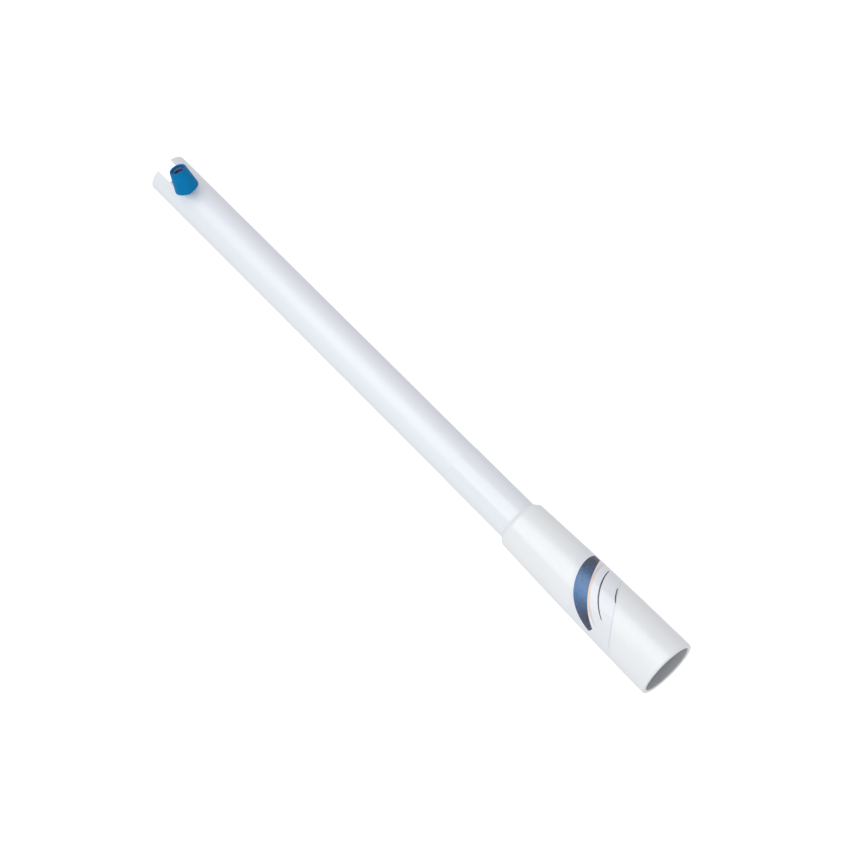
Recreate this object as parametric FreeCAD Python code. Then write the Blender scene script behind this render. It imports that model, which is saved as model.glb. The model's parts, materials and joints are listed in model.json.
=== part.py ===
"""Extension mast with a leaning cable outlet, modelled as separate pieces in millimetres.

The mast lies along +X, from the open mouth of its base ferrule to its slotted tip.
The slot faces +Z. The origin is on the mast's axis, at the middle of the base thread.
"""

import FreeCAD
import Part

import math
import os

from FreeCAD import Vector

# Whole mast
OVERALL_LENGTH = 424.0
TUBE_OD = 25.0
TUBE_WALL = 2.0
SLOT_WIDTH = 9.7
SLOT_DEPTH = 26.0
SPIGOT_BORE = 21.5
SPIGOT_DEPTH = 13.0
BOND_GAP = 0.04
EDGE_BREAK = 0.35

# Thin glossy sleeve over the foot of the tube
SLEEVE_OD = 25.5
SLEEVE_VISIBLE_LENGTH = 47.4

# Base ferrule: a tapered shell with a barrelled flank, a sloping shoulder and an open skirt
FERRULE_LENGTH = 118.7
FERRULE_MOUTH_OD = 36.8
FERRULE_TOP_OD = 30.9
FLANK_BULGE = 0.45
SHOULDER_LENGTH = 2.8
SHOULDER_ROUNDING = 2.2
SKIRT_DEPTH = 20.0
SKIRT_BORE = 31.6
LIP_CHAMFER = 0.9

# Female one inch, fourteen threads per inch insert, modelled at its minor diameter
THREAD_LENGTH = 24.0
THREAD_MINOR_DIAMETER = 23.5
THREAD_ENTRY_CHAMFER = 1.1
INSERT_OD = 29.9
KNURL_COUNT = 24
KNURL_RADIUS = 0.45

# Ring, gasket and seal inside the ferrule
RETAINER_THICKNESS = 1.2
RETAINER_OD = 32.8
RETAINER_ID = 28.4
RETAINER_GAP_DEGREES = 38.0
GASKET_THICKNESS = 2.0
GASKET_ID = 20.8
NECK_SEAL_WIRE = 1.6
NECK_SEAL_INSET = 14.0

# Cable outlet: a hollow stem through the slot, with a leaning boot that turns on it
STEM_NECK_RADIUS = 4.55
STEM_SPIGOT_RADIUS = 3.2
STEM_HEAD_RADIUS = 3.5
STEM_BORE_RADIUS = 2.6
STEM_FLANGE_RADIUS = 6.2
STEM_FLANGE_BOTTOM = 6.0
STEM_FLANGE_THICKNESS = 1.6
STEM_HEAD_HEIGHT = 1.0
STEM_HEAD_LIFT = 0.2
HEAD_ROOM = 0.6
SEAT_CLEARANCE = 0.35
TURN_CLEARANCE = 0.06
BOOT_LEAN = 32.9
BOOT_TURN = -16.0
BOOT_LENGTH = 14.15
BOOT_BASE_RADIUS = 7.44
BOOT_TIP_RADIUS = 5.15
BOOT_WALL = 1.0
BOOT_FLOOR = 1.6
BOOT_LIP = 1.3
BOOT_HOLE_RADIUS = 4.1
BOOT_EDGE = 0.55
BOOT_CUFF_RADIUS = 5.15
BOOT_SETBACK = 2.9
SOCKET_TOP = 15.5
SEAL_LENGTH = 3.6
SEAL_BORE_RADIUS = 2.6

# Printed film on the ferrule's flank, wrapped round it at a slant
LABEL_SPAN_DEGREES = 150.0
LABEL_MIDDLE_X = 24.0
LABEL_WIDTH = 26.0
LABEL_SLANT_DEGREES = 35.8
LABEL_REACH = 30.0
LABEL_THICKNESS = 0.2

# Stations along the mast, from the middle of the thread
TUBE_RADIUS = TUBE_OD / 2
BORE_RADIUS = TUBE_RADIUS - TUBE_WALL
THREAD_START = -THREAD_LENGTH / 2
THREAD_END = THREAD_LENGTH / 2
MOUTH_X = THREAD_START - SKIRT_DEPTH
TIP_X = MOUTH_X + OVERALL_LENGTH
FERRULE_TOP_X = MOUTH_X + FERRULE_LENGTH
SHOULDER_X = FERRULE_TOP_X - SHOULDER_LENGTH
TUBE_FOOT_X = THREAD_END + GASKET_THICKNESS + 2 * BOND_GAP
SLEEVE_TOP_X = FERRULE_TOP_X + SLEEVE_VISIBLE_LENGTH
NECK_BORE_RADIUS = SLEEVE_OD / 2 + BOND_GAP
STEM_X = TIP_X - SLOT_DEPTH + SLOT_WIDTH / 2
SEAT_Z = TUBE_RADIUS + SEAT_CLEARANCE
STEM_TOP_Z = SOCKET_TOP + STEM_HEAD_LIFT + STEM_HEAD_HEIGHT

X_AXIS = Vector(1, 0, 0)
Z_AXIS = Vector(0, 0, 1)
CENTRE = Vector(0, 0, 0)


def turned(edges):
    """Solid made by turning a closed outline in the XZ plane about the mast's axis."""
    outline = Part.Face(Part.Wire(Part.__sortEdges__(edges)))
    return outline.revolve(CENTRE, X_AXIS, 360)


def straight_edges(points):
    """Straight edges through (x, radius) points, one after another."""
    vectors = [Vector(x, 0, r) for x, r in points]
    return [Part.makeLine(a, b) for a, b in zip(vectors, vectors[1:])]


def turned_polygon(points):
    return turned(straight_edges(points + points[:1]))


def ring(x0, x1, outer, inner):
    return turned_polygon([(x0, inner), (x1, inner), (x1, outer), (x0, outer)])


def upright(radius, z0, z1, x=0.0):
    """Upright round bar on the line through (x, 0)."""
    return Part.makeCylinder(radius, z1 - z0, Vector(x, 0, z0), Z_AXIS)


def flank_circle():
    """Centre x, centre radius and curvature radius of the ferrule's barrelled flank."""
    ends = (MOUTH_X, FERRULE_MOUTH_OD / 2), (SHOULDER_X, FERRULE_TOP_OD / 2)
    run, rise = ends[1][0] - ends[0][0], ends[1][1] - ends[0][1]
    chord = math.hypot(run, rise)
    radius = (chord**2 / 4 + FLANK_BULGE**2) / (2 * FLANK_BULGE)
    depth = radius - FLANK_BULGE
    middle = (ends[0][0] + ends[1][0]) / 2, (ends[0][1] + ends[1][1]) / 2
    return middle[0] + rise / chord * depth, middle[1] - run / chord * depth, radius


def flank_radius(x):
    centre_x, centre_r, radius = flank_circle()
    return centre_r + math.sqrt(radius**2 - (x - centre_x) ** 2)


def flank_arc(x0, x1, offset=0.0):
    """Arc along the ferrule's flank from x0 to x1, lifted by an offset."""
    stations = (x0, (x0 + x1) / 2, x1)
    points = [Vector(x, 0, flank_radius(x) + offset) for x in stations]
    return Part.Arc(*points).toShape()


def rounded_shoulder(foot):
    """Flank arc, rounded corner and slope, from the ferrule's mouth to the foot of its shoulder."""
    corner = Vector(SHOULDER_X, 0, FERRULE_TOP_OD / 2)
    slope = (foot - corner).normalize()
    along = Vector(-1, 0, flank_radius(SHOULDER_X - 1) - corner.z).normalize()
    half_turn = (math.pi - along.getAngle(slope)) / 2
    reach = SHOULDER_ROUNDING * math.tan(half_turn)
    start_x = SHOULDER_X + along.x * reach
    start = Vector(start_x, 0, flank_radius(start_x))
    end = corner + slope * reach
    inward = (along + slope).normalize()
    middle = corner + inward * (SHOULDER_ROUNDING / math.cos(half_turn) - SHOULDER_ROUNDING)
    rounding = Part.Arc(start, middle, end).toShape()
    return [flank_arc(MOUTH_X, start_x), rounding, Part.makeLine(end, foot)]


def round_edges(shape, places, radius):
    """Fillets the circular edges about the mast's axis at the given (x, radius) places."""
    chosen = []
    for edge in shape.Edges:
        if not isinstance(edge.Curve, Part.Circle):
            continue
        for x, r in places:
            if abs(edge.Curve.Center.x - x) < 0.01 and abs(edge.Curve.Radius - r) < 0.01:
                chosen.append(edge)
    return shape.makeFillet(radius, chosen)


def mast_tube():
    points = [
        (TUBE_FOOT_X, BORE_RADIUS),
        (TIP_X - SPIGOT_DEPTH, BORE_RADIUS),
        (TIP_X - SPIGOT_DEPTH, SPIGOT_BORE / 2),
        (TIP_X - EDGE_BREAK, SPIGOT_BORE / 2),
        (TIP_X, SPIGOT_BORE / 2 + EDGE_BREAK),
        (TIP_X, TUBE_RADIUS - EDGE_BREAK),
        (TIP_X - EDGE_BREAK, TUBE_RADIUS),
        (TUBE_FOOT_X, TUBE_RADIUS),
    ]
    tube = turned_polygon(points)
    slot = Part.makeBox(SLOT_DEPTH, SLOT_WIDTH, TUBE_OD, Vector(STEM_X, -SLOT_WIDTH / 2, 0))
    slot = slot.fuse(upright(SLOT_WIDTH / 2, 0, TUBE_OD, STEM_X))
    return tube.cut(slot)


def root_sleeve():
    return ring(TUBE_FOOT_X, SLEEVE_TOP_X, SLEEVE_OD / 2, TUBE_RADIUS + BOND_GAP)


def neck_seal_station():
    """Axial middle and wire-centre radius of the seal in the ferrule's neck."""
    return FERRULE_TOP_X - NECK_SEAL_INSET, NECK_BORE_RADIUS + NECK_SEAL_WIRE / 2


def ferrule_shell():
    mouth = FERRULE_MOUTH_OD / 2
    foot = Vector(FERRULE_TOP_X, 0, NECK_BORE_RADIUS + EDGE_BREAK)
    insert_bore = INSERT_OD / 2 + BOND_GAP
    step_x = TUBE_FOOT_X - BOND_GAP
    inside = [
        (foot.x, foot.z),
        (FERRULE_TOP_X, NECK_BORE_RADIUS),
        (step_x, NECK_BORE_RADIUS),
        (step_x, insert_bore),
        (THREAD_START, insert_bore),
        (THREAD_START, SKIRT_BORE / 2),
        (MOUTH_X, SKIRT_BORE / 2),
        (MOUTH_X, mouth),
    ]
    shell = turned(straight_edges(inside) + rounded_shoulder(foot))
    shell = round_edges(shell, [(MOUTH_X, mouth), (MOUTH_X, SKIRT_BORE / 2)], LIP_CHAMFER)
    groove = ring(
        THREAD_START - RETAINER_THICKNESS - 2 * BOND_GAP,
        THREAD_START,
        RETAINER_OD / 2 + BOND_GAP,
        SKIRT_BORE / 2 - 1,
    )
    seal_x, seal_radius = neck_seal_station()
    seal_half = NECK_SEAL_WIRE / 2 + BOND_GAP
    channel = ring(
        seal_x - seal_half,
        seal_x + seal_half,
        seal_radius + seal_half,
        NECK_BORE_RADIUS - 1,
    )
    return shell.cut(groove).cut(channel)


def thread_insert():
    minor = THREAD_MINOR_DIAMETER / 2
    outer = INSERT_OD / 2
    points = [
        (THREAD_START + THREAD_ENTRY_CHAMFER, minor),
        (THREAD_END, minor),
        (THREAD_END, outer),
        (THREAD_START, outer),
        (THREAD_START, minor + THREAD_ENTRY_CHAMFER),
    ]
    insert = turned_polygon(points)
    grooves = []
    for n in range(KNURL_COUNT):
        start = Vector(THREAD_START, 0, outer)
        groove = Part.makeCylinder(KNURL_RADIUS, THREAD_LENGTH, start, X_AXIS)
        groove.rotate(CENTRE, X_AXIS, 360.0 * n / KNURL_COUNT)
        grooves.append(groove)
    return insert.cut(grooves[0].multiFuse(grooves[1:]))


def insert_retaining_ring():
    """Split spring ring in the groove under the insert, its gap facing down."""
    x1 = THREAD_START - BOND_GAP
    x0 = x1 - RETAINER_THICKNESS
    whole = ring(x0, x1, RETAINER_OD / 2, RETAINER_ID / 2)
    reach = RETAINER_OD * math.tan(math.radians(RETAINER_GAP_DEGREES / 2))
    places = [(0, 0), (-reach, -RETAINER_OD), (reach, -RETAINER_OD), (0, 0)]
    corners = [Vector(x0 - 1, y, z) for y, z in places]
    wedge = Part.Face(Part.makePolygon(corners))
    return whole.cut(wedge.extrude(X_AXIS * (RETAINER_THICKNESS + 2)))


def seat_gasket():
    x0 = THREAD_END + BOND_GAP / 2
    return ring(x0, x0 + GASKET_THICKNESS, INSERT_OD / 2, GASKET_ID / 2)


def neck_seal():
    x, radius = neck_seal_station()
    return Part.makeTorus(radius, NECK_SEAL_WIRE / 2, Vector(x, 0, 0), X_AXIS)


def outlet_stem():
    """Hollow stem: flange inside the tube, neck in the slot, spigot and head inside the boot."""
    flange_top = STEM_FLANGE_BOTTOM + STEM_FLANGE_THICKNESS
    shoulder = SEAT_Z - TURN_CLEARANCE
    stem = upright(STEM_FLANGE_RADIUS, STEM_FLANGE_BOTTOM, flange_top, STEM_X)
    stem = stem.fuse(upright(STEM_NECK_RADIUS, flange_top, shoulder, STEM_X))
    stem = stem.fuse(upright(STEM_SPIGOT_RADIUS, shoulder, STEM_TOP_Z, STEM_X))
    head_foot = Vector(STEM_X, 0, STEM_TOP_Z - STEM_HEAD_HEIGHT)
    head = Part.makeCone(STEM_HEAD_RADIUS, STEM_SPIGOT_RADIUS, STEM_HEAD_HEIGHT, head_foot)
    bore = upright(STEM_BORE_RADIUS, STEM_FLANGE_BOTTOM - 1, STEM_TOP_Z + 1, STEM_X)
    return stem.fuse(head).cut(bore).removeSplitter()


def boot_base_centre():
    """Centre of the boot's round base: its lowest edge just clears the crown of the tube."""
    drop = BOOT_BASE_RADIUS * math.sin(math.radians(BOOT_LEAN))
    return Vector(STEM_X - BOOT_SETBACK, 0, SEAT_Z + drop)


def leaning(shape):
    """Moves a shape built on +Z from the origin onto the boot's leaning axis, before it is turned."""
    shape.rotate(CENTRE, Vector(0, 1, 0), BOOT_LEAN)
    shape.translate(boot_base_centre())
    return shape


def turned_on_stem(shape):
    shape.rotate(Vector(STEM_X, 0, 0), Z_AXIS, BOOT_TURN)
    return shape


def tapered_plug(bottom, top, gap):
    """Cone that fills the boot's inside between two heights above its base, but for a gap."""
    slope = (BOOT_TIP_RADIUS - BOOT_BASE_RADIUS) / BOOT_LENGTH
    radii = [BOOT_BASE_RADIUS + slope * height - BOOT_WALL - gap for height in (bottom, top)]
    return Part.makeCone(*radii, top - bottom, Vector(0, 0, bottom))


def cable_boot():
    cone = Part.makeCone(BOOT_BASE_RADIUS, BOOT_TIP_RADIUS, BOOT_LENGTH)
    rims = [edge for edge in cone.Edges if isinstance(edge.Curve, Part.Circle)]
    body = leaning(cone.makeFillet(BOOT_EDGE, rims))
    cavity = tapered_plug(BOOT_FLOOR, BOOT_LENGTH - BOOT_LIP, 0)
    hole = Part.makeCylinder(BOOT_HOLE_RADIUS, BOOT_LENGTH, Vector(0, 0, BOOT_FLOOR))
    cuff = upright(BOOT_CUFF_RADIUS, SEAT_Z, boot_base_centre().z + BOOT_FLOOR, STEM_X)
    # the cuff joins the underside of the leaning base and stays inside its outline
    keep = leaning(Part.makeCylinder(BOOT_BASE_RADIUS, BOOT_LENGTH, Vector(0, 0, BOOT_EDGE)))
    block_corner = Vector(-2 * BOOT_LENGTH, -2 * BOOT_LENGTH, BOOT_EDGE)
    block = Part.makeBox(4 * BOOT_LENGTH, 4 * BOOT_LENGTH, 4 * BOOT_LENGTH, block_corner)
    body = body.fuse(cuff.cut(leaning(block).cut(keep)))
    socket = upright(STEM_SPIGOT_RADIUS + TURN_CLEARANCE, SEAT_Z - 1, SOCKET_TOP, STEM_X)
    head_room_radius = STEM_HEAD_RADIUS + 4 * TURN_CLEARANCE
    head_room = upright(head_room_radius, SOCKET_TOP, STEM_TOP_Z + HEAD_ROOM, STEM_X)
    body = body.cut(leaning(cavity)).cut(leaning(hole)).cut(socket).cut(head_room)
    return turned_on_stem(body.removeSplitter())


def boot_seal():
    """Soft ring in the throat of the boot, which grips the cable."""
    top = BOOT_LENGTH - BOOT_LIP - BOND_GAP
    bottom = top - SEAL_LENGTH
    bore = Part.makeCylinder(SEAL_BORE_RADIUS, SEAL_LENGTH + 2, Vector(0, 0, bottom - 1))
    return turned_on_stem(leaning(tapered_plug(bottom, top, BOND_GAP).cut(bore)))


def label_film():
    """Thin film that follows the flank, cut to a slanting strip."""
    x0 = LABEL_MIDDLE_X - LABEL_REACH
    x1 = LABEL_MIDDLE_X + LABEL_REACH
    lower = BOND_GAP / 2
    upper = lower + LABEL_THICKNESS
    edges = [flank_arc(x0, x1, lower), flank_arc(x0, x1, upper)]
    for x in (x0, x1):
        foot = Vector(x, 0, flank_radius(x) + lower)
        edges.append(Part.makeLine(foot, foot + Z_AXIS * LABEL_THICKNESS))
    outline = Part.Face(Part.Wire(Part.__sortEdges__(edges)))
    outline.rotate(CENTRE, X_AXIS, -LABEL_SPAN_DEGREES / 2)
    whole = outline.revolve(CENTRE, X_AXIS, LABEL_SPAN_DEGREES)
    strip = Part.makeBox(
        LABEL_WIDTH, 4 * LABEL_REACH, FERRULE_MOUTH_OD, Vector(-LABEL_WIDTH / 2, -2 * LABEL_REACH, 0)
    )
    strip.rotate(CENTRE, Z_AXIS, LABEL_SLANT_DEGREES)
    strip.translate(X_AXIS * LABEL_MIDDLE_X)
    return whole.common(strip)


NODES = {
    "mast_tube": mast_tube,
    "root_sleeve": root_sleeve,
    "ferrule_shell": ferrule_shell,
    "thread_insert": thread_insert,
    "insert_retaining_ring": insert_retaining_ring,
    "seat_gasket": seat_gasket,
    "neck_seal": neck_seal,
    "outlet_stem": outlet_stem,
    "cable_boot": cable_boot,
    "boot_seal": boot_seal,
    "label_film": label_film,
}


def main():
    os.makedirs("parts", exist_ok=True)
    for name, make in NODES.items():
        shape = make()
        if len(shape.Solids) != 1:
            raise ValueError(f"{name} is {len(shape.Solids)} solids")
        solid = shape.Solids[0]
        if not solid.isValid() or solid.Volume <= 0:
            raise ValueError(f"{name} is not a valid solid")
        solid.exportStep(f"parts/{name}.step")
        box = solid.BoundBox
        print(f"{name}: {solid.Volume:.1f} mm3")
        print(f"  x {box.XMin:.2f} to {box.XMax:.2f}, z {box.ZMin:.2f} to {box.ZMax:.2f}")


main()
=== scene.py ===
"""Looks of the extension mast: detailed pieces, materials, floor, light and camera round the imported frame.

Shapes are drawn in millimetres, in the frame's own axes, and scaled to metres when each mesh is made.
The mast lies along X with its mouth at -X, its slotted tip at +X and the slot facing +Z.
"""

import json
import math

import bmesh
import bpy
from mathutils import Matrix, Vector


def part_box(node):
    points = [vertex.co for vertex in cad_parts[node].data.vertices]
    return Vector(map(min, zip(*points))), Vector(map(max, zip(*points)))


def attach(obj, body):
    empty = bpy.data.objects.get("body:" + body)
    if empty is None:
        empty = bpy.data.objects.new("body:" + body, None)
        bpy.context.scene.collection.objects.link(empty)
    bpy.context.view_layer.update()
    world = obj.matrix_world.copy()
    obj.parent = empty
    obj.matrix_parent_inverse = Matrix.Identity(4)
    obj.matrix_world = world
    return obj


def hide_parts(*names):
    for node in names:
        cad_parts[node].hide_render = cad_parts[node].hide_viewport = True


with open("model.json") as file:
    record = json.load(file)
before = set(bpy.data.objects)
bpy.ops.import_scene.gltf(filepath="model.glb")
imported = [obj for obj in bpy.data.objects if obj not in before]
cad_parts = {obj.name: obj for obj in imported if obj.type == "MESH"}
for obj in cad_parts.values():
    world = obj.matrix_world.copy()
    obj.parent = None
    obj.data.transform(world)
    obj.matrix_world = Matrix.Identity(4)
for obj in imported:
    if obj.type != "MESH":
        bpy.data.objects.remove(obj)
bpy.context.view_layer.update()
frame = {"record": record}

MM = 0.001
TURN = 2 * math.pi


def box_mm(node):
    """Lowest and highest corner of a CAD node, in millimetres."""
    low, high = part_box(node)
    return low / MM, high / MM


def mount(name):
    """Place, in millimetres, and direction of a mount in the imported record."""
    found = next(m for m in frame["record"]["mounts"] if m["name"] == name)
    return Vector(found["pos_m"]) / MM, Vector(found["axis"]).normalized()


# Tube and its slot
TUBE_FOOT_X, TIP_X = (corner.x for corner in box_mm("mast_tube"))
TUBE_RADIUS = 12.5
BORE_RADIUS = 10.5
TIP_BORE_RADIUS = 10.75
TIP_BORE_X = TIP_X - 13.0
SLOT_RADIUS = 4.85
STEM_X = TIP_X - 26.0 + SLOT_RADIUS
TUBE_EDGE_BEVEL = 0.32
TUBE_COLUMNS = 112
WHOLE_TUBE_STEPS = 40
SLOT_STEPS = 14
TIP_STEPS = 4

# Sleeve, ferrule and what the ferrule holds
SLEEVE_TOP_X = box_mm("root_sleeve")[1].x
SLEEVE_RADIUS = 12.75
SLEEVE_BORE_RADIUS = TUBE_RADIUS + 0.03
SLEEVE_LIP_LENGTH = 6.0
SLEEVE_WANDER = 0.12
MOUTH_X, FERRULE_TOP_X = (corner.x for corner in box_mm("ferrule_shell"))
MOUTH_RADIUS = 18.4
SHOULDER_RADIUS = 15.45
SHOULDER_X = FERRULE_TOP_X - 2.8
FLANK_BULGE = 0.45
NECK_RADIUS = 12.79
NECK_RIM = 0.35
SHOULDER_ROUNDING = 2.2
FLANK_STEPS = 40
MOUTH_INNER_EDGE = 0.8
MOUTH_OUTER_EDGE = 0.95
SKIRT_RADIUS = 15.8
SKIRT_EDGE_LENGTH = 4.0
POCKET_RADIUS = 14.99
FIT_GAP = 0.04
PARTING_HEIGHT = 0.035
PARTING_HALF_ANGLE = 0.14 / 17
INSERT_START_X, INSERT_END_X = (corner.x for corner in box_mm("thread_insert"))
INSERT_RADIUS = 14.95
THREAD_MINOR = 11.75
THREAD_MAJOR = 12.7
THREAD_PITCH = 25.4 / 14
KNURLS = 24
KNURL_RADIUS = 0.45
THREAD_STEPS = 72
THREAD_FLANK = math.radians(30)
CUTTER_OVERSHOOT = 0.3
THREAD_LEAD_IN = 1.1
RING_START_X, RING_END_X = (corner.x for corner in box_mm("insert_retaining_ring"))
RING_RADII = (14.2, 16.4)
RING_GAP = math.radians(38)
GASKET_START_X, GASKET_END_X = (corner.x for corner in box_mm("seat_gasket"))
GASKET_BORE_RADIUS = 10.4
SEAL_START_X, SEAL_END_X = (corner.x for corner in box_mm("neck_seal"))
CHANNEL_HALF_WIDTH = 0.84
CHANNEL_DEPTH = 1.64
FLASH_HEIGHT = 0.02

# Stem: heights above the mast's axis, and radii round the stem's own
STEM_FOOT_Z = 6.0
FLANGE_TOP_Z = 7.6
FLANGE_RADIUS = 6.2
STEM_NECK_RADIUS = 4.55
STEM_NECK_TOP_Z = 12.79
STEM_SPIGOT_RADIUS = 3.2
HEAD_START_Z = 15.7
HEAD_TOP_Z = 16.7
HEAD_RADIUS = 3.5
STEM_BORE_RADIUS = 2.6

# Boot, its socket on the stem and the seal in its throat
OUTLET_PLACE, OUTLET_AXIS = mount("cable_outlet")
BOOT_LENGTH = 14.15
BOOT_BASE_RADIUS = 7.44
BOOT_TIP_RADIUS = 5.15
BOOT_WALL = 1.0
BOOT_FLOOR = 1.6
BOOT_LIP = 1.3
BOOT_HOLE_RADIUS = 4.1
SEAL_LENGTH = 3.6
SEAL_TOP = BOOT_LENGTH - BOOT_LIP - FIT_GAP
SEAL_LIP_RADIUS = 2.6
SEAL_WAIST_RADIUS = 2.9
SEAL_DISH_RADIUS = 3.7
SEAL_FOOT_RADIUS = 3.2
SEAT_Z = 12.85
SOCKET_TOP = 15.5
SOCKET_RADIUS = 3.26
HEAD_ROOM_RADIUS = 3.74
HEAD_ROOM_TOP = 17.3
CUFF_RADIUS = 5.15
CUFF_CHAMFER = 0.35
CUFF_INSET = 0.15
CUFF_OVERLAP = 0.5
CUFF_SIDES = 72
BOOT_BASE = OUTLET_PLACE - OUTLET_AXIS * (SEAL_TOP - SEAL_LENGTH / 2)
BOOT_FRAME = Matrix.Translation(BOOT_BASE) @ OUTLET_AXIS.to_track_quat("Z", "Y").to_matrix().to_4x4()

# Label: a slanting strip of film with a generic arched stripe
FILM_MIDDLE_X = 24.0
FILM_HALF_WIDTH = 16.0
FILM_SLANT = 0.72
FILM_SPAN = math.radians(150)
FILM_COLUMNS, FILM_ROWS = 96, 12
FILM_FOOT = 0.02
FILM_LIFT = 0.14
FILM_EDGE_STEP = 0.06
FILM_END_NARROWING = 0.07
FILM_END_SHARE = 0.03
INK_LIFT = 0.17
HALO_LIFT = 0.155
ARCH_CENTRE_ROUND = 22.0
ARCH_CENTRE_X = -6.0
ARCH_RADIUS = 44.6
ARCH_START = math.radians(-67)
ARCH_END = math.radians(-3)
RIBBON_STEPS, RIBBON_COLUMNS = 72, 6
BORDER_INSET = 0.25
BORDER_START, BORDER_END = math.radians(-58), math.radians(56)

# Floor, light and camera, in metres, but the lens and the sensor in Blender's millimetres
FLOOR_SIZE = 12.0
FLOOR_GAP = 0.05 * MM
DOME_RADIUS = FLOOR_SIZE * 0.48
SURROUND_RADIANCE = 0.775
SOFTBOX_Z = 1.0
SOFTBOX_RADIANCE = 2.35
FILL_PLACE = Vector((0.2, 0.71, 1.09))
FILL_SIZE = (1.2, 0.7)
FILL_RADIANCE = 2.25
VIEW_AZIMUTH = math.radians(-112.535)
VIEW_ELEVATION = math.radians(69.862)
VIEW_ROLL = math.radians(21.3)
VIEW_DISTANCE = 1.5099
VIEW_TARGET = Vector((0.166, -0.0014, 0.0))
VIEW_LENS = 112.47
SENSOR_WIDTH = 36.0


# ---------------------------------------------------------------- outlines


def rounded(corners, steps=5):
    """Outline through (along, radius, rounding) corners, with an arc where the rounding isn't zero."""
    outline = []
    for n, (along, radius, rounding) in enumerate(corners):
        corner = Vector((along, radius))
        if not rounding:
            outline.append(corner)
            continue
        before = (Vector(corners[n - 1][:2]) - corner).normalized()
        after = (Vector(corners[(n + 1) % len(corners)][:2]) - corner).normalized()
        half = before.angle(after) / 2
        middle = corner + (before + after).normalized() * (rounding / math.sin(half))
        start = corner + before * (rounding / math.tan(half)) - middle
        end = corner + after * (rounding / math.tan(half)) - middle
        first = math.atan2(start.y, start.x)
        sweep = (math.atan2(end.y, end.x) - first + math.pi) % TURN - math.pi
        for step in range(steps + 1):
            angle = first + sweep * step / steps
            outline.append(middle + Vector((math.cos(angle), math.sin(angle))) * rounding)
    return outline


def flank_radius(x):
    """Radius of the ferrule's barrelled flank, an arc from its mouth to its shoulder."""
    run, rise = SHOULDER_X - MOUTH_X, SHOULDER_RADIUS - MOUTH_RADIUS
    chord = math.hypot(run, rise)
    curve = (chord**2 / 4 + FLANK_BULGE**2) / (2 * FLANK_BULGE)
    depth = curve - FLANK_BULGE
    centre_x = (MOUTH_X + SHOULDER_X) / 2 + rise / chord * depth
    centre_radius = (MOUTH_RADIUS + SHOULDER_RADIUS) / 2 - run / chord * depth
    return centre_radius + math.sqrt(curve**2 - (x - centre_x) ** 2)


def boot_radius(height):
    """Outer radius of the boot at a height above its base."""
    return BOOT_BASE_RADIUS + (BOOT_TIP_RADIUS - BOOT_BASE_RADIUS) * height / BOOT_LENGTH


# ---------------------------------------------------------------- places


def on_mast(along, radius, angle):
    """Point round the mast's axis, its angle counted from +Z towards -Y."""
    return Vector((along, -radius * math.sin(angle), radius * math.cos(angle)))


def on_stem(height, radius, angle):
    return Vector((STEM_X + radius * math.cos(angle), radius * math.sin(angle), height))


def on_boot(height, radius, angle):
    return BOOT_FRAME @ Vector((radius * math.cos(angle), radius * math.sin(angle), height))


def evenly(count, start=0.0, span=TURN):
    return [start + span * n / count for n in range(count)]


# ---------------------------------------------------------------- meshes


def lathe(outline, place, angles, relief=None, closed=True):
    """Closed mesh that turns an outline of (along, radius) points through the given angles."""
    bm = bmesh.new()
    rings = []
    for angle in angles:
        ring = []
        for along, radius in outline:
            shift = relief(along, radius, angle) if relief else 0.0
            ring.append(bm.verts.new(place(along, radius + shift, angle)))
        rings.append(ring)
    count = len(outline)
    followers = rings[1:] + rings[:1] if closed else rings[1:]
    for ring, follower in zip(rings, followers):
        for n in range(count):
            m = (n + 1) % count
            bm.faces.new((ring[n], ring[m], follower[m], follower[n]))
    if not closed:
        bm.faces.new(rings[0])
        bm.faces.new(rings[-1])
    bmesh.ops.remove_doubles(bm, verts=bm.verts, dist=1e-5)
    return bm


def to_mesh(bm, name):
    """Mesh data in metres from a bmesh in millimetres, its faces turned outwards."""
    bmesh.ops.recalc_face_normals(bm, faces=bm.faces)
    bm.transform(Matrix.Scale(MM, 4))
    mesh = bpy.data.meshes.new(name)
    bm.to_mesh(mesh)
    bm.free()
    return mesh


def combined(mesh, tool, operation):
    """Result of a boolean operation on two meshes."""
    objects = [bpy.data.objects.new("work", data) for data in (mesh, tool)]
    for obj in objects:
        bpy.context.scene.collection.objects.link(obj)
    modifier = objects[0].modifiers.new("boolean", "BOOLEAN")
    modifier.object = objects[1]
    modifier.operation = operation
    modifier.solver = "EXACT"
    graph = bpy.context.evaluated_depsgraph_get()
    result = bpy.data.meshes.new_from_object(objects[0].evaluated_get(graph))
    for obj in objects:
        bpy.data.objects.remove(obj)
    return result


def piece(name, mesh, body, material, stands_for=(), crisp=35, bevel=0.0):
    """Adds a smooth-shaded piece that rides on a body and stands for CAD nodes.

    Edges above the crisp angle, in degrees, stay sharp. A bevel rounds the edges that have bevel weight.
    """
    obj = bpy.data.objects.new(name, mesh)
    bpy.context.scene.collection.objects.link(obj)
    mesh.materials.clear()
    mesh.materials.append(material)
    mesh.shade_smooth()
    if bevel:
        modifier = obj.modifiers.new("edges", "BEVEL")
        modifier.limit_method = "WEIGHT"
        modifier.width = bevel * MM
        modifier.segments = 4
    mesh.set_sharp_from_angle(angle=math.radians(crisp))
    normals = obj.modifiers.new("normals", "WEIGHTED_NORMAL")
    normals.keep_sharp = not bevel
    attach(obj, body)
    if stands_for:
        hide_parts(*stands_for)
    return obj


# ---------------------------------------------------------------- tube


def slot_half_width(x):
    """Half the slot's width at a station, zero where the tube is whole."""
    if x <= STEM_X - SLOT_RADIUS:
        return 0.0
    reach = max(0.0, STEM_X - x)
    return math.sqrt(max(0.0, SLOT_RADIUS**2 - reach**2))


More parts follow.
